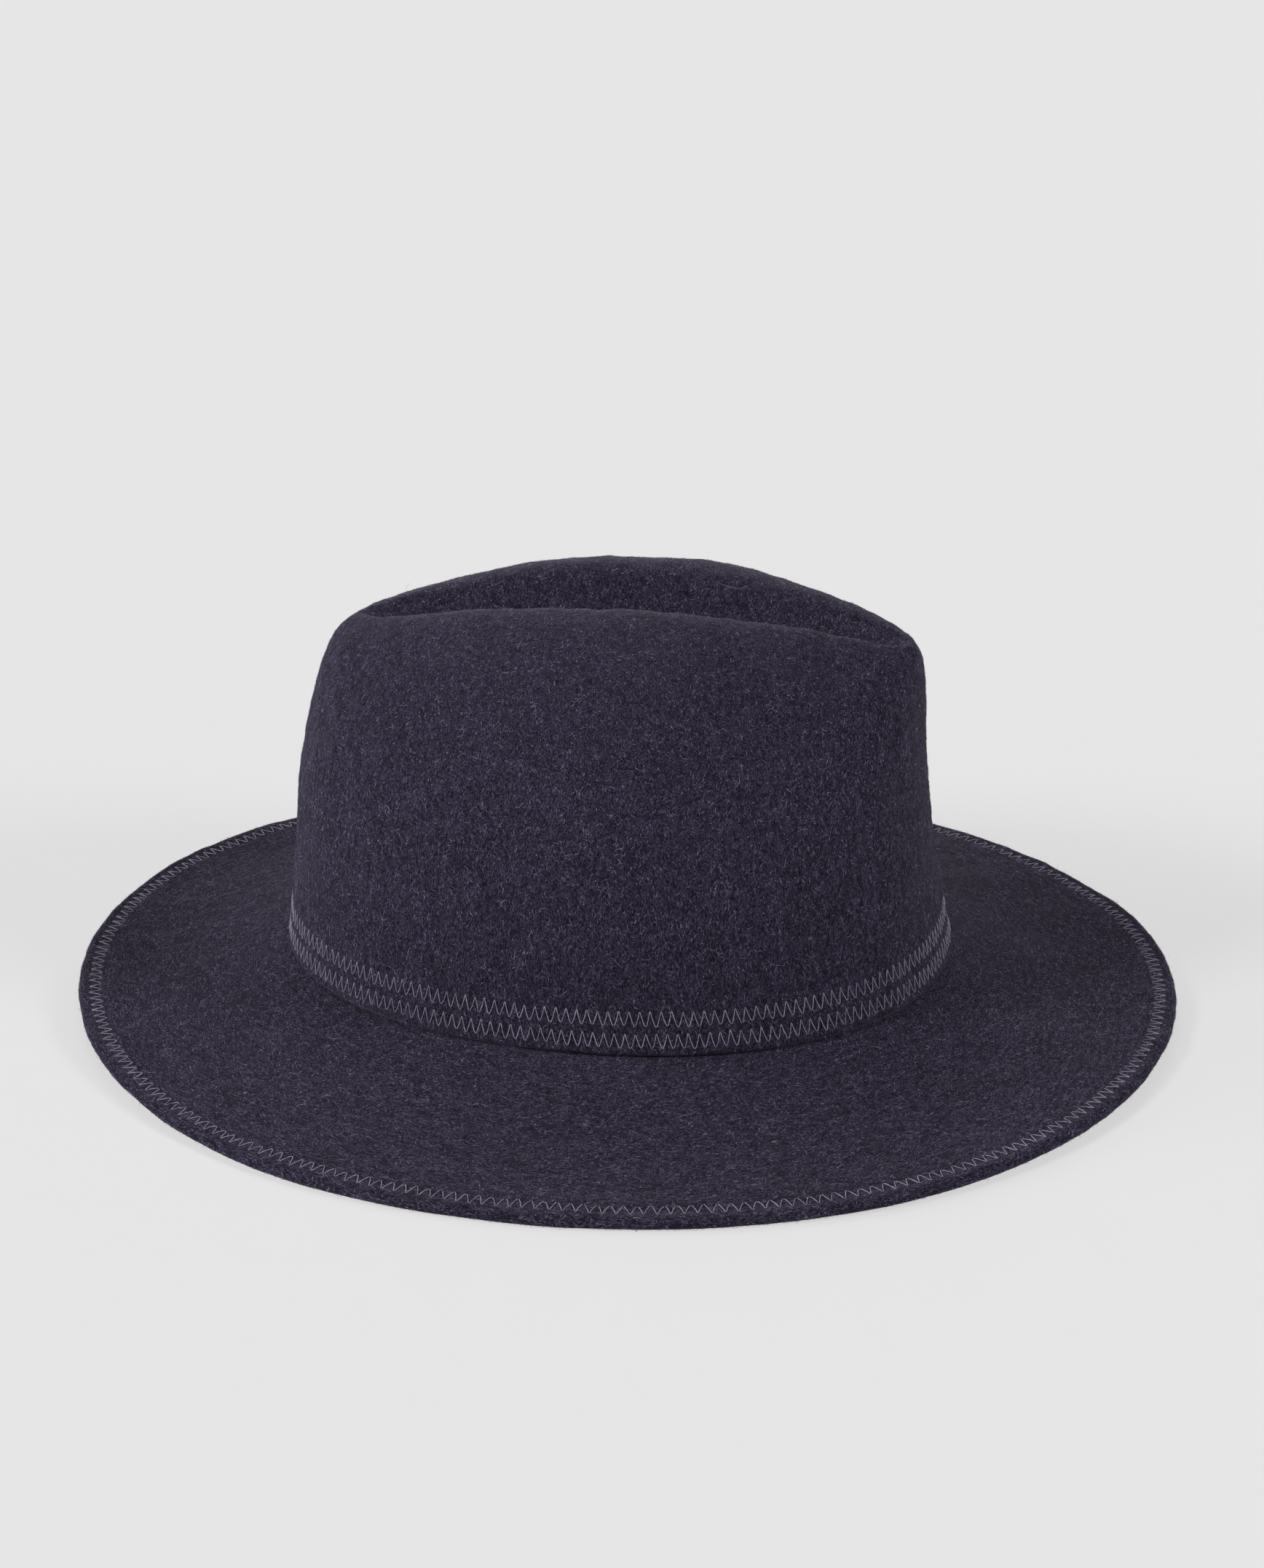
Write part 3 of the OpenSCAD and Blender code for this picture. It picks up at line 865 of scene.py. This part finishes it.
def wall_row(height):
    def place(a, offset, lift):
        t = wall_share(a, height + offset)
        n = crown_normal(a, t)
        p = crown_at(a, t)
        return p + n * (crown_relief(p, t) + lift)[:, None], n
    return place


def brim_row(below, facing, relief):
    """A row on the brim's upper side, facing 1, or on its hem, facing -1. relief is how
    much of the felt's unevenness it follows."""
    def place(a, offset, lift):
        r = BRIM_SIDE - EDGE_ROW_IN + offset
        p = brim_at(a, r, below)
        n = unit(np.cross(brim_at(a, r + 0.5, below) - p, brim_at(a + STEP, r, below) - p))
        n = np.where(n[:, 2:] > 0, n, -n) * facing
        q = p + n * (brim_relief(p) * relief - BRIM_PULLED + lift)[:, None]
        q[:, 2] = np.maximum(q[:, 2], THREAD_R)
        return q, n
    return place


def make_thread(name, row, length_of, pitch, width, seed, material):
    path, normals = zigzag(row, length_of, pitch, width, seed)
    piece = tube_object(name, path, normals, THREAD_R, THREAD_SIDES, material,
                        lobes=PLY_DEPTH, lay=PLY_TURN)
    root_piece(piece, "felt")


def make_sewing(thread, edge_thread):
    def lower_path(a):
        return wall_at(a, LOWER_ROW_H, 0)

    def upper_path(a):
        return wall_at(a, UPPER_ROW_H, 0)

    def edge_path(a):
        return brim_at(a, BRIM_SIDE - EDGE_ROW_IN)

    join = (JOIN_PITCH, STITCH_W)
    edge = (EDGE_PITCH, EDGE_STITCH_W)
    make_thread("lower_join_stitch", wall_row(LOWER_ROW_H), lower_path, *join, 21, thread)
    make_thread("upper_join_stitch", wall_row(UPPER_ROW_H), upper_path, *join, 22, thread)
    over = brim_row(below=0.0, facing=1, relief=1.0)
    under = brim_row(below=HEM_T, facing=-1, relief=0.4)
    make_thread("edge_stitch", over, edge_path, *edge, 23, edge_thread)
    make_thread("edge_stitch_under", under, edge_path, *edge, 24, edge_thread)


# ---------------------------------------------------------------- inside of the hat

NOISE_R = 90  # radius of the circle along which a ring's noise is read
UPWARD = np.array([0.0, 0.0, 1.0])
ROUND_OFF = 0.3  # share of a band's thickness by which its edges are rounded


def band_grid(low, high, outer, inner, count, rows, lean=0.0):
    """A band inside the wall between two heights and two depths, with rounded edges. It
    leans inwards at its top."""
    a = stations(count)
    heights = np.linspace(high, low, rows)

    def face(depth, order):
        return [wall_at(a, h, depth + lean * ((h - low) / (high - low))) for h in order]

    middle = (outer + inner) / 2
    round_off = (inner - outer) * ROUND_OFF
    foot = [wall_at(a, low - round_off, middle)]
    top = [wall_at(a, high + round_off, middle + lean)]
    return np.array(face(outer, heights) + foot + face(inner, heights[::-1]) + top)


SWEAT_RING = 360
SWEAT_ROWS = 22
SWEAT_LEAN = 0.45
SWEAT_WAVES = ((0.35, 60, 31),)
SWEAT_STITCHES = 168
SWEAT_STITCH_H = 2.6
SWEAT_THREAD_R = 0.2
TAPE_RING = 300
TAPE_ROWS = 8
REED_SIDES = 12


def make_sweatband(material, thread):
    a = stations(SWEAT_RING)
    circle = np.stack([np.cos(a), np.sin(a), 0 * a], -1) * NOISE_R
    grid = band_grid(SWEAT_LIFT, SWEAT_LIFT + SWEAT_H, SWEAT_OUT, SWEAT_IN, SWEAT_RING,
                     SWEAT_ROWS, SWEAT_LEAN + ripples(circle, SWEAT_WAVES))
    root_piece(ring_object("sweatband_leather", grid, material), "leather", "sweatband")

    share = np.array([0.08, 0.2, 0.5, 0.8, 0.92])
    lift = np.array([-0.2, 0.1, 0.16, 0.1, -0.2])
    verts, faces = [], []
    for k in range(SWEAT_STITCHES):
        path = wall_at(TURN * (k + share) / SWEAT_STITCHES, SWEAT_LIFT + SWEAT_STITCH_H,
                       SWEAT_IN + lift)
        inward = unit(np.array([0, CROWN_Y, 0]) - path * [1, 1, 0])
        across = np.cross(inward, unit(np.gradient(path, axis=0)))
        rings = path[:, None] + SWEAT_THREAD_R * section(across, inward, THREAD_SIDES)
        faces += (ring_faces(*rings.shape[:2], False) + len(verts)).tolist()
        verts += rings.reshape(-1, 3).tolist()
    root_piece(face_out(new_object("sweatband_stitch", verts, faces, thread)), "leather")


def make_tape_and_reed(tape, reed):
    grid = band_grid(TAPE_LOW, TAPE_LOW + TAPE_H, TAPE_OUT, TAPE_IN, TAPE_RING, TAPE_ROWS)
    strip = root_piece(ring_object("reed_tape_woven", grid, tape), "tape", "reed_tape")
    path = wall_at(stations(TAPE_RING), -REED_DROP, REED_DEPTH)
    normals = np.broadcast_to(UPWARD, path.shape)
    cord = tube_object("reed_cord", path, normals, REED_R, REED_SIDES, reed)
    root_piece(cord, "reed", "reed")


def ribbon_strip(path, z_low, z_high, thick):
    """A thin upright ribbon along a path in plan, as a grid of sections."""
    along = unit(np.gradient(path, axis=0))
    out = np.stack([along[:, 1], -along[:, 0]], -1) * thick / 2
    corners = ((1, z_low), (1, z_high), (-1, z_high), (-1, z_low))
    return np.stack([np.concatenate([path + sign * out, z[:, None]], 1)
                     for sign, z in corners], 1)


BOW_MARGIN = (0.6, 0.5, 0.2)
RIBBON_T = 0.45
LOOP_POINTS = 25
KNOT_T = 0.5
KNOT_HALF = (2.3, 1.3)
KNOT_BACK = 1.5
KNOT_POINTS = 33
KNOT_SHARE = 0.72  # of the ribbon's height


def make_bow(material):
    """Two flat loops of ribbon and the knot between them, in the CAD bow's box."""
    low, high = box_mm("sweatband_bow")
    reach, back = high[0] - BOW_MARGIN[0], high[1] - BOW_MARGIN[1]
    middle = (low[2] + high[2]) / 2
    half = (high[2] - low[2]) / 2 - BOW_MARGIN[2]
    loop_start = 1.6
    verts, faces = [], []

    def add(grid):
        rows, count = grid.shape[:2]
        start = len(verts)
        verts.extend(grid.reshape(-1, 3).tolist())
        faces.extend((ring_faces(rows, count, False) + start).tolist())
        faces.append([start + c for c in range(count)][::-1])
        faces.append([start + (rows - 1) * count + c for c in range(count)])

    u = np.linspace(0, 1, LOOP_POINTS) * TURN / 2
    bulge = np.sin(u)
    x = loop_start + (reach - loop_start) * bulge**0.8
    y = back - 0.9 - 1.17 * bulge**2 + np.cos(u) * bulge**0.5
    height = half * (0.55 + 0.45 * bulge**0.7)
    for side in (-1, 1):
        loop = np.stack([side * x, y], -1)
        add(ribbon_strip(loop, middle - height, middle + height, RIBBON_T))
    u = np.linspace(0, TURN, KNOT_POINTS)
    x = KNOT_HALF[0] * signed_pow(np.cos(u), 0.7)
    y = back - KNOT_BACK + KNOT_HALF[1] * signed_pow(np.sin(u), 0.8)
    height = np.full(KNOT_POINTS, half * KNOT_SHARE)
    add(ribbon_strip(np.stack([x, y], -1), middle - height, middle + height, KNOT_T))
    piece = face_out(new_object("rear_bow", verts, faces, material))
    root_piece(piece, "bow", "sweatband_bow")


LINING_RING = 420
LINING_ROWS = 34
LINING_FOLDS = ((0.55, 17, 41), (0.22, 6.5, 42))
SEAM_FROM = 0.97  # the share of the lining's side from which its folds close up
TIP_ROWS = 30
PIPING_RING = 900
PIPING_SIDES = 10
PIPING_DROP = 0.3


def lining_point(a, t, depth):
    """The lining hangs a little off the felt, in soft upright folds that grow towards the
    seam and close up in it."""
    p = np.stack([np.sin(a), np.cos(a), 0 * a], -1) * NOISE_R
    fold = sum(height * np.abs(ripple(p, wavelength, seed))
               for height, wavelength, seed in LINING_FOLDS)
    share = np.clip(t / SEAM_T, 0, 1)
    closed = np.clip((share - SEAM_FROM) / (1 - SEAM_FROM), 0, 1)
    return under_crown(a, t, depth + fold * (0.35 + 1.1 * share**3) * (1 - 0.9 * closed))


def make_lining_side(satin):
    a = stations(LINING_RING)
    low = wall_share(a, COLLAR_H + LINING_LIFT)
    shares = np.linspace(1, 0, LINING_ROWS)
    outer = [lining_point(a, low + (SEAM_T - low) * s, LINING_OUT) for s in shares]
    inner = [lining_point(a, low + (SEAM_T - low) * s, LINING_IN) for s in shares[::-1]]
    piece = ring_object("lining_side_satin", np.array(outer + inner), satin)
    return root_piece(piece, "satin", "lining_side")


def make_lining_tip(satin):
    rim = under_crown(stations(LINING_RING), SEAM_T, LINING_IN + LAYER_GAP)
    seam_low = under_crown(np.zeros(1), SEAM_T, LINING_IN)[0, 2]
    middle = np.array([0, CROWN_Y - CREASE_FORWARD * SEAM_T**2, seam_low + TIP_CROWN])
    rows = []
    for share in np.linspace(0.02, 1, TIP_ROWS):
        row = middle + (rim - middle) * share
        row[:, 2] = middle[2] + (rim[:, 2] - middle[2]) * share**2
        pucker = 0.45 * ripple(rim, 5, 43) * share**7 * (1 - share**30)
        row[:, 2] += pucker + 0.5 * ripple(row, 45, 44) * (1 - share**4)
        rows.append(row)
    over = np.array(rows)
    under = over[::-1] - LINING_T * UPWARD
    piece = ring_object("lining_tip_satin", np.concatenate([over, under]), satin,
                        closed=False, capped=True)
    return root_piece(piece, "satin", "lining_tip")


def make_piping(material):
    rim = under_crown(stations(PIPING_RING), SEAM_T, LINING_IN + LAYER_GAP + PIPING_R)
    path = rim - (LINING_T + LAYER_GAP + PIPING_R + PIPING_DROP) * UPWARD
    normals = np.broadcast_to(UPWARD, path.shape)
    piece = tube_object("lining_piping_cord", path, normals, PIPING_R * 0.92, PIPING_SIDES,
                        material, lobes=0.08, lay=4.0)
    return root_piece(piece, "piping", "lining_piping")


def make_lining(satin, piping):
    side = make_lining_side(satin)
    tip = make_lining_tip(satin)
    cord = make_piping(piping)


# ---------------------------------------------------------------- studio

PAPER = 0.79  # linear light of the pale backdrop
FLOOR_GLOW = 0.71  # share of the floor's light that no shadow takes away
FLOOR_HALF = 20000
FLOOR_GAP = 0.2

# Each lamp's share of the light on the floor, then its azimuth from +X towards +Y, its
# elevation and its softness in degrees. FILL is the world's share. The viewer stands at
# azimuth 194.
FILL = 0.22
LAMPS = {
    "left": (0.14, 104, 15, 28),
    "key": (0.27, 134, 35, 14),
    "front": (0.24, 257, 30, 16),
    "behind": (0.13, 20, 50, 26),
}


def seen_share(tree):
    """1 for rays that the viewer sees directly, in a mirror or through glass."""
    path = tree.nodes.new("ShaderNodeLightPath")
    value = path.outputs["Is Camera Ray"]
    for name in ("Is Glossy Ray", "Is Transmission Ray"):
        add = tree.nodes.new("ShaderNodeMath")
        add.operation = "MAXIMUM"
        tree.links.new(value, add.inputs[0])
        tree.links.new(path.outputs[name], add.inputs[1])
        value = add.outputs[0]
    return value


def make_stage():
    n = Nodes("backdrop paper")
    grain = n.noise(60, detail=3.0)
    paper = n.ramp(grain, (0.0, grey(PAPER * 0.995)), (1.0, grey(PAPER * 1.005)))
    n.finish(Base_Color=paper, Roughness=1.0, Specular_IOR_Level=0.0)
    glow = n.add("Emission", {"Color": paper})
    share = n.math("MULTIPLY", seen_share(n.tree), FLOOR_GLOW)
    mix = n.add("MixShader", {0: share, 1: n.shader.outputs[0], 2: glow.outputs[0]})
    n.tree.links.new(mix.outputs[0], n.tree.nodes["Material Output"].inputs[0])
    corners = [(x * FLOOR_HALF, y * FLOOR_HALF, -FLOOR_GAP)
               for x, y in ((-1, -1), (1, -1), (1, 1), (-1, 1))]
    new_object("floor", corners, [[0, 1, 2, 3]], n.material, smooth=False)


def make_world():
    world = bpy.data.worlds.new("studio")
    bpy.context.scene.world = world
    world.use_nodes = True
    tree = world.node_tree
    tree.nodes.clear()
    light = tree.nodes.new("ShaderNodeBackground")
    light.inputs["Color"].default_value = grey(1.0)
    light.inputs["Strength"].default_value = FILL
    seen = tree.nodes.new("ShaderNodeBackground")
    seen.inputs["Color"].default_value = grey(PAPER)
    mix = tree.nodes.new("ShaderNodeMixShader")
    out = tree.nodes.new("ShaderNodeOutputWorld")
    tree.links.new(seen_share(tree), mix.inputs[0])
    tree.links.new(light.outputs[0], mix.inputs[1])
    tree.links.new(seen.outputs[0], mix.inputs[2])
    tree.links.new(mix.outputs[0], out.inputs[0])


def make_lamps():
    for name, (share, azimuth, elevation, softness) in LAMPS.items():
        around, up = math.radians(azimuth), math.radians(elevation)
        level = math.cos(up)
        towards = Vector((level * math.cos(around), level * math.sin(around), math.sin(up)))
        sun = bpy.data.lights.new(name, "SUN")
        sun.energy = share * math.pi / towards.z
        sun.angle = math.radians(softness)
        lamp = bpy.data.objects.new(name, sun)
        lamp.rotation_euler = towards.to_track_quat("Z", "Y").to_euler()
        bpy.context.scene.collection.objects.link(lamp)


# The photograph's viewpoint: from the hat's right, a little to the front and above.
# VIEW_TO_FRONT turns the view from +X towards +Y.
VIEW_ELEVATION = math.radians(23.04)
VIEW_TO_FRONT = math.radians(13.99)
VIEW_ROLL = math.radians(-0.48)
VIEW_DISTANCE = 1471.6
VIEW_AIM = (14.7, 1.4, 66.4)
VIEW_LENS = 130.94


def make_camera():
    c, s = math.cos(VIEW_ELEVATION), math.sin(VIEW_ELEVATION)
    look = Vector((math.cos(VIEW_TO_FRONT) * c, math.sin(VIEW_TO_FRONT) * c, -s))
    right = look.cross(Vector((0, 0, 1))).normalized()
    up = right.cross(look)
    roll = Matrix.Rotation(-VIEW_ROLL, 3, look)
    right, up = roll @ right, roll @ up
    camera = bpy.data.cameras.new("camera")
    camera.sensor_fit = "HORIZONTAL"
    camera.sensor_width = 36
    camera.lens = VIEW_LENS
    camera.clip_end = 100
    obj = bpy.data.objects.new("camera", camera)
    place = (Vector(VIEW_AIM) - look * VIEW_DISTANCE) * MM
    turned = Matrix((right, up, -look)).transposed().to_4x4()
    obj.matrix_world = Matrix.Translation(place) @ turned
    bpy.context.scene.collection.objects.link(obj)
    bpy.context.scene.camera = obj


# ---------------------------------------------------------------- the whole

make_camera()
make_world()
make_lamps()
make_stage()

shades = (srgb(18, 16, 23), srgb(35, 30, 43), srgb(67, 61, 82), srgb(130, 123, 152))
crown_felt = felt_material("crown felt", True, *shades)
brim_felt = felt_material("brim felt", False, *shades)
thread = thread_material("sewing thread", srgb(164, 160, 178), srgb(98, 94, 110))
edge_thread = thread_material("edge thread", srgb(164, 154, 174), srgb(92, 84, 102))
dark_thread = thread_material("leather thread", srgb(104, 88, 76), srgb(74, 62, 54))
satin = satin_material("lining satin", srgb(70, 66, 84), srgb(96, 91, 112))
piping = satin_material("piping satin", srgb(30, 27, 34), srgb(48, 44, 54))
tape = ribbed_material("reed tape", srgb(24, 23, 28), srgb(50, 49, 56), 0.0007, "Z")
ribbon = ribbed_material("bow ribbon", srgb(24, 23, 29), srgb(54, 52, 62), 0.0006, "X")

crown_skin = make_crown(crown_felt)
over_brim, under_brim = make_brim(brim_felt)
make_fibres(crown_skin, over_brim, under_brim)
make_sewing(thread, edge_thread)
make_sweatband(leather_material(), dark_thread)
make_tape_and_reed(tape, reed_material())
make_bow(ribbon)
make_lining(satin, piping)

bpy.context.scene.view_settings.view_transform = "Standard"
